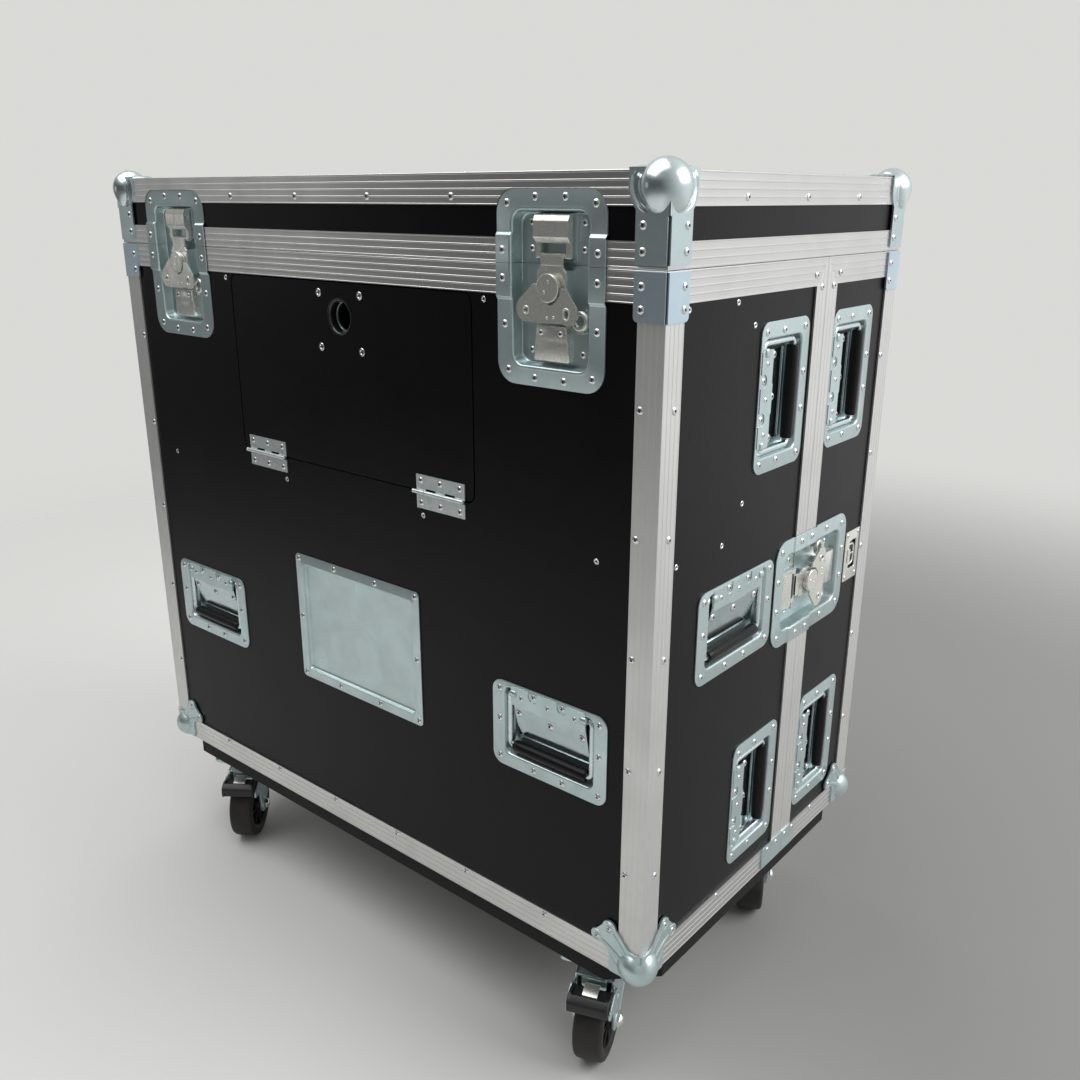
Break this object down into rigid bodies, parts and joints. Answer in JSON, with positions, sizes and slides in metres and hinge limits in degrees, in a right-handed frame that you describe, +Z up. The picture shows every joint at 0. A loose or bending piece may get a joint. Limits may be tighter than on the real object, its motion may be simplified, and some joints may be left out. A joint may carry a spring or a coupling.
{
  "type": "flight case",
  "caption": "Black laminate flight case with aluminium edges, ball corners, recessed latches and sprung handles, lift-off lid, rear cover, drop hatch, on castors.",
  "frame": {"origin": "on the floor under the middle of the case, between the castors", "axes": "+Z up, -Y out of the front with the hatch, +X to the right as the front is looked at"},
  "size_m": [0.912, 0.5427, 1.0026],
  "materials": {
    "laminate": "black grained laminate on plywood",
    "aluminium": "ribbed natural extrusion",
    "zinc": "bluish zinc-plated sheet",
    "nickel": "bright nickel-plated sheet",
    "bail": "zinc-plated wire with a black plastic grip",
    "board": "black painted plywood",
    "tyre": "black rubber",
    "pedal": "black moulded pedal on zinc arms"
  },
  "bodies": {
    "case": {"body_frame": "aluminium", "front_panel": "laminate", "left_panel": "laminate", "right_panel": "laminate", "base_panel": "laminate", "castor_board": "board", "label_dish": "zinc", "front_latch_dish_left": "zinc", "front_latch_dish_right": "zinc"},
    "lid": {"lid_panels": "laminate", "lid_top_extrusion": "aluminium", "lid_rim_extrusion": "aluminium", "lid_corner_front_left": "zinc", "lid_corner_front_right": "zinc", "lid_corner_back_left": "zinc", "lid_corner_back_right": "zinc", "lid_keeper_front_left": "zinc", "lid_keeper_front_right": "zinc", "lid_keeper_back_left": "zinc", "lid_keeper_back_right": "zinc"},
    "rear_cover": {"rear_panels": "laminate", "rear_frame": "aluminium", "back_latch_dish_left": "zinc", "back_latch_dish_right": "zinc"},
    "hatch": {"hatch_door": "laminate"},
    "hatch_latch": {"hatch_latch": "zinc"},
    "handle_bail_front_left": {"handle_bail_front_left": "bail"},
    "handle_bail_front_right": {"handle_bail_front_right": "bail"},
    "handle_bail_left_upper": {"handle_bail_left_upper": "bail"},
    "handle_bail_left_middle": {"handle_bail_left_middle": "bail"},
    "handle_bail_left_lower": {"handle_bail_left_lower": "bail"},
    "handle_bail_cover_left_upper": {"handle_bail_cover_left_upper": "bail"},
    "handle_bail_cover_left_lower": {"handle_bail_cover_left_lower": "bail"},
    "handle_bail_right_upper": {"handle_bail_right_upper": "bail"},
    "handle_bail_right_middle": {"handle_bail_right_middle": "bail"},
    "handle_bail_right_lower": {"handle_bail_right_lower": "bail"},
    "handle_bail_cover_right_upper": {"handle_bail_cover_right_upper": "bail"},
    "handle_bail_cover_right_lower": {"handle_bail_cover_right_lower": "bail"},
    "latch_wing_front_left": {"latch_wing_front_left": "nickel"},
    "latch_hook_front_left": {"latch_hook_front_left": "nickel"},
    "latch_wing_front_right": {"latch_wing_front_right": "nickel"},
    "latch_hook_front_right": {"latch_hook_front_right": "nickel"},
    "latch_wing_back_left": {"latch_wing_back_left": "nickel"},
    "latch_hook_back_left": {"latch_hook_back_left": "nickel"},
    "latch_wing_back_right": {"latch_wing_back_right": "nickel"},
    "latch_hook_back_right": {"latch_hook_back_right": "nickel"},
    "latch_wing_side_left": {"latch_wing_side_left": "nickel"},
    "latch_hook_side_left": {"latch_hook_side_left": "nickel"},
    "latch_wing_side_right": {"latch_wing_side_right": "nickel"},
    "latch_hook_side_right": {"latch_hook_side_right": "nickel"},
    "castor_fork_front_left": {"castor_fork_front_left": "zinc"},
    "castor_wheel_front_left": {"castor_wheel_front_left": "tyre"},
    "brake_pedal_front_left": {"brake_pedal_front_left": "pedal"},
    "castor_fork_front_right": {"castor_fork_front_right": "zinc"},
    "castor_wheel_front_right": {"castor_wheel_front_right": "tyre"},
    "brake_pedal_front_right": {"brake_pedal_front_right": "pedal"},
    "castor_fork_back_left": {"castor_fork_back_left": "zinc"},
    "castor_wheel_back_left": {"castor_wheel_back_left": "tyre"},
    "castor_fork_back_right": {"castor_fork_back_right": "zinc"},
    "castor_wheel_back_right": {"castor_wheel_back_right": "tyre"}
  },
  "joints": [
    {"name": "lid_lift", "type": "slide", "parent": "case", "child": "lid", "axis": [0, 0, 1], "range_m": [0, 0.15]},
    {"name": "rear_cover_pull", "type": "slide", "parent": "case", "child": "rear_cover", "axis": [0, 1, 0], "range_m": [0, 0.25]},
    {"name": "hatch_hinge", "type": "hinge", "parent": "case", "child": "hatch", "pos_m": [0.004, -0.2555, 0.65635], "axis": [1, 0, 0], "range_deg": [0, 175]},
    {"name": "hatch_latch_pull", "type": "slide", "parent": "hatch", "child": "hatch_latch", "axis": [0, 0, -1], "range_m": [0, 0.008], "stiffness_N_per_m": 200, "springref_m": -0.006},
    {"name": "bail_front_left", "type": "hinge", "parent": "case", "child": "handle_bail_front_left", "pos_m": [-0.3137, -0.2482, 0.4496], "axis": [-1, 0, 0], "range_deg": [0, 90], "stiffness_Nm_per_rad": 0.12, "springref_deg": -34.38},
    {"name": "bail_front_right", "type": "hinge", "parent": "case", "child": "handle_bail_front_right", "pos_m": [0.3137, -0.2482, 0.4496], "axis": [-1, 0, 0], "range_deg": [0, 90], "stiffness_Nm_per_rad": 0.12, "springref_deg": -34.38},
    {"name": "bail_left_upper", "type": "hinge", "parent": "case", "child": "handle_bail_left_upper", "pos_m": [-0.4392, -0.0635, 0.7701], "axis": [0, 0, 1], "range_deg": [0, 90], "stiffness_Nm_per_rad": 0.12, "springref_deg": -34.38},
    {"name": "bail_left_middle", "type": "hinge", "parent": "case", "child": "handle_bail_left_middle", "pos_m": [-0.4392, -0.092, 0.5731], "axis": [0, 1, 0], "range_deg": [0, 90], "stiffness_Nm_per_rad": 0.12, "springref_deg": -34.38},
    {"name": "bail_left_lower", "type": "hinge", "parent": "case", "child": "handle_bail_left_lower", "pos_m": [-0.4392, -0.0635, 0.2901], "axis": [0, 0, 1], "range_deg": [0, 90], "stiffness_Nm_per_rad": 0.12, "springref_deg": -34.38},
    {"name": "bail_cover_left_upper", "type": "hinge", "parent": "rear_cover", "child": "handle_bail_cover_left_upper", "pos_m": [-0.4392, 0.102, 0.7701], "axis": [0, 0, 1], "range_deg": [0, 90], "stiffness_Nm_per_rad": 0.12, "springref_deg": -34.38},
    {"name": "bail_cover_left_lower", "type": "hinge", "parent": "rear_cover", "child": "handle_bail_cover_left_lower", "pos_m": [-0.4392, 0.102, 0.2901], "axis": [0, 0, 1], "range_deg": [0, 90], "stiffness_Nm_per_rad": 0.12, "springref_deg": -34.38},
    {"name": "bail_right_upper", "type": "hinge", "parent": "case", "child": "handle_bail_right_upper", "pos_m": [0.4392, -0.0635, 0.7701], "axis": [0, 0, -1], "range_deg": [0, 90], "stiffness_Nm_per_rad": 0.12, "springref_deg": -34.38},
    {"name": "bail_right_middle", "type": "hinge", "parent": "case", "child": "handle_bail_right_middle", "pos_m": [0.4392, -0.092, 0.5731], "axis": [0, -1, 0], "range_deg": [0, 90], "stiffness_Nm_per_rad": 0.12, "springref_deg": -34.38},
    {"name": "bail_right_lower", "type": "hinge", "parent": "case", "child": "handle_bail_right_lower", "pos_m": [0.4392, -0.0635, 0.2901], "axis": [0, 0, -1], "range_deg": [0, 90], "stiffness_Nm_per_rad": 0.12, "springref_deg": -34.38},
    {"name": "bail_cover_right_upper", "type": "hinge", "parent": "rear_cover", "child": "handle_bail_cover_right_upper", "pos_m": [0.4392, 0.102, 0.7701], "axis": [0, 0, -1], "range_deg": [0, 90], "stiffness_Nm_per_rad": 0.12, "springref_deg": -34.38},
    {"name": "bail_cover_right_lower", "type": "hinge", "parent": "rear_cover", "child": "handle_bail_cover_right_lower", "pos_m": [0.4392, 0.102, 0.2901], "axis": [0, 0, -1], "range_deg": [0, 90], "stiffness_Nm_per_rad": 0.12, "springref_deg": -34.38},
    {"name": "latch_turn_front_left", "type": "hinge", "parent": "case", "child": "latch_wing_front_left", "pos_m": [-0.3137, -0.254, 0.88745], "axis": [0, -1, 0], "range_deg": [0, 180]},
    {"name": "latch_draw_front_left", "type": "slide", "parent": "case", "child": "latch_hook_front_left", "axis": [0, 0, 1], "range_m": [0, 0.006]},
    {"name": "latch_turn_front_right", "type": "hinge", "parent": "case", "child": "latch_wing_front_right", "pos_m": [0.3137, -0.254, 0.88745], "axis": [0, -1, 0], "range_deg": [0, 180]},
    {"name": "latch_draw_front_right", "type": "slide", "parent": "case", "child": "latch_hook_front_right", "axis": [0, 0, 1], "range_m": [0, 0.006]},
    {"name": "latch_turn_back_left", "type": "hinge", "parent": "rear_cover", "child": "latch_wing_back_left", "pos_m": [-0.3137, 0.254, 0.88745], "axis": [0, 1, 0], "range_deg": [0, 180]},
    {"name": "latch_draw_back_left", "type": "slide", "parent": "rear_cover", "child": "latch_hook_back_left", "axis": [0, 0, 1], "range_m": [0, 0.006]},
    {"name": "latch_turn_back_right", "type": "hinge", "parent": "rear_cover", "child": "latch_wing_back_right", "pos_m": [0.3137, 0.254, 0.88745], "axis": [0, 1, 0], "range_deg": [0, 180]},
    {"name": "latch_draw_back_right", "type": "slide", "parent": "rear_cover", "child": "latch_hook_back_right", "axis": [0, 0, 1], "range_m": [0, 0.006]},
    {"name": "latch_turn_side_left", "type": "hinge", "parent": "rear_cover", "child": "latch_wing_side_left", "pos_m": [-0.445, 0.08315, 0.5316], "axis": [-1, 0, 0], "range_deg": [0, 180]},
    {"name": "latch_draw_side_left", "type": "slide", "parent": "rear_cover", "child": "latch_hook_side_left", "axis": [0, -1, 0], "range_m": [0, 0.006]},
    {"name": "latch_turn_side_right", "type": "hinge", "parent": "rear_cover", "child": "latch_wing_side_right", "pos_m": [0.445, 0.08315, 0.5316], "axis": [1, 0, 0], "range_deg": [0, 180]},
    {"name": "latch_draw_side_right", "type": "slide", "parent": "rear_cover", "child": "latch_hook_side_right", "axis": [0, -1, 0], "range_m": [0, 0.006]},
    {"name": "castor_swivel_front_left", "type": "hinge", "parent": "case", "child": "castor_fork_front_left", "pos_m": [-0.353, -0.188, 0.12], "axis": [0, 0, 1], "continuous": true},
    {"name": "castor_roll_front_left", "type": "hinge", "parent": "castor_fork_front_left", "child": "castor_wheel_front_left", "pos_m": [-0.33169, -0.21577, 0.05], "axis": [0.7934, 0.6088, 0], "continuous": true},
    {"name": "brake_press_front_left", "type": "hinge", "parent": "castor_fork_front_left", "child": "brake_pedal_front_left", "pos_m": [-0.325, -0.22449, 0.094], "axis": [0.7934, 0.6088, 0], "range_deg": [0, 12]},
    {"name": "castor_swivel_front_right", "type": "hinge", "parent": "case", "child": "castor_fork_front_right", "pos_m": [0.353, -0.188, 0.12], "axis": [0, 0, 1], "continuous": true},
    {"name": "castor_roll_front_right", "type": "hinge", "parent": "castor_fork_front_right", "child": "castor_wheel_front_right", "pos_m": [0.36554, -0.22068, 0.05], "axis": [0.9336, 0.3584, 0], "continuous": true},
    {"name": "brake_press_front_right", "type": "hinge", "parent": "castor_fork_front_right", "child": "brake_pedal_front_right", "pos_m": [0.36949, -0.23095, 0.094], "axis": [0.9336, 0.3584, 0], "range_deg": [0, 12]},
    {"name": "castor_swivel_back_left", "type": "hinge", "parent": "case", "child": "castor_fork_back_left", "pos_m": [-0.353, 0.17, 0.12], "axis": [0, 0, 1], "continuous": true},
    {"name": "castor_roll_back_left", "type": "hinge", "parent": "castor_fork_back_left", "child": "castor_wheel_back_left", "pos_m": [-0.33657, 0.1391, 0.05], "axis": [0.8829, 0.4695, 0], "continuous": true},
    {"name": "castor_swivel_back_right", "type": "hinge", "parent": "case", "child": "castor_fork_back_right", "pos_m": [0.353, 0.17, 0.12], "axis": [0, 0, 1], "continuous": true},
    {"name": "castor_roll_back_right", "type": "hinge", "parent": "castor_fork_back_right", "child": "castor_wheel_back_right", "pos_m": [0.36943, 0.1391, 0.05], "axis": [0.8829, 0.4695, 0], "continuous": true}
  ],
  "couplings": [
    {"joint": "latch_draw_front_left", "follows": "latch_turn_front_left", "m_per_rad": 0.0019099},
    {"joint": "latch_draw_front_right", "follows": "latch_turn_front_right", "m_per_rad": 0.0019099},
    {"joint": "latch_draw_back_left", "follows": "latch_turn_back_left", "m_per_rad": 0.0019099},
    {"joint": "latch_draw_back_right", "follows": "latch_turn_back_right", "m_per_rad": 0.0019099},
    {"joint": "latch_draw_side_left", "follows": "latch_turn_side_left", "m_per_rad": 0.0019099},
    {"joint": "latch_draw_side_right", "follows": "latch_turn_side_right", "m_per_rad": 0.0019099}
  ]
}
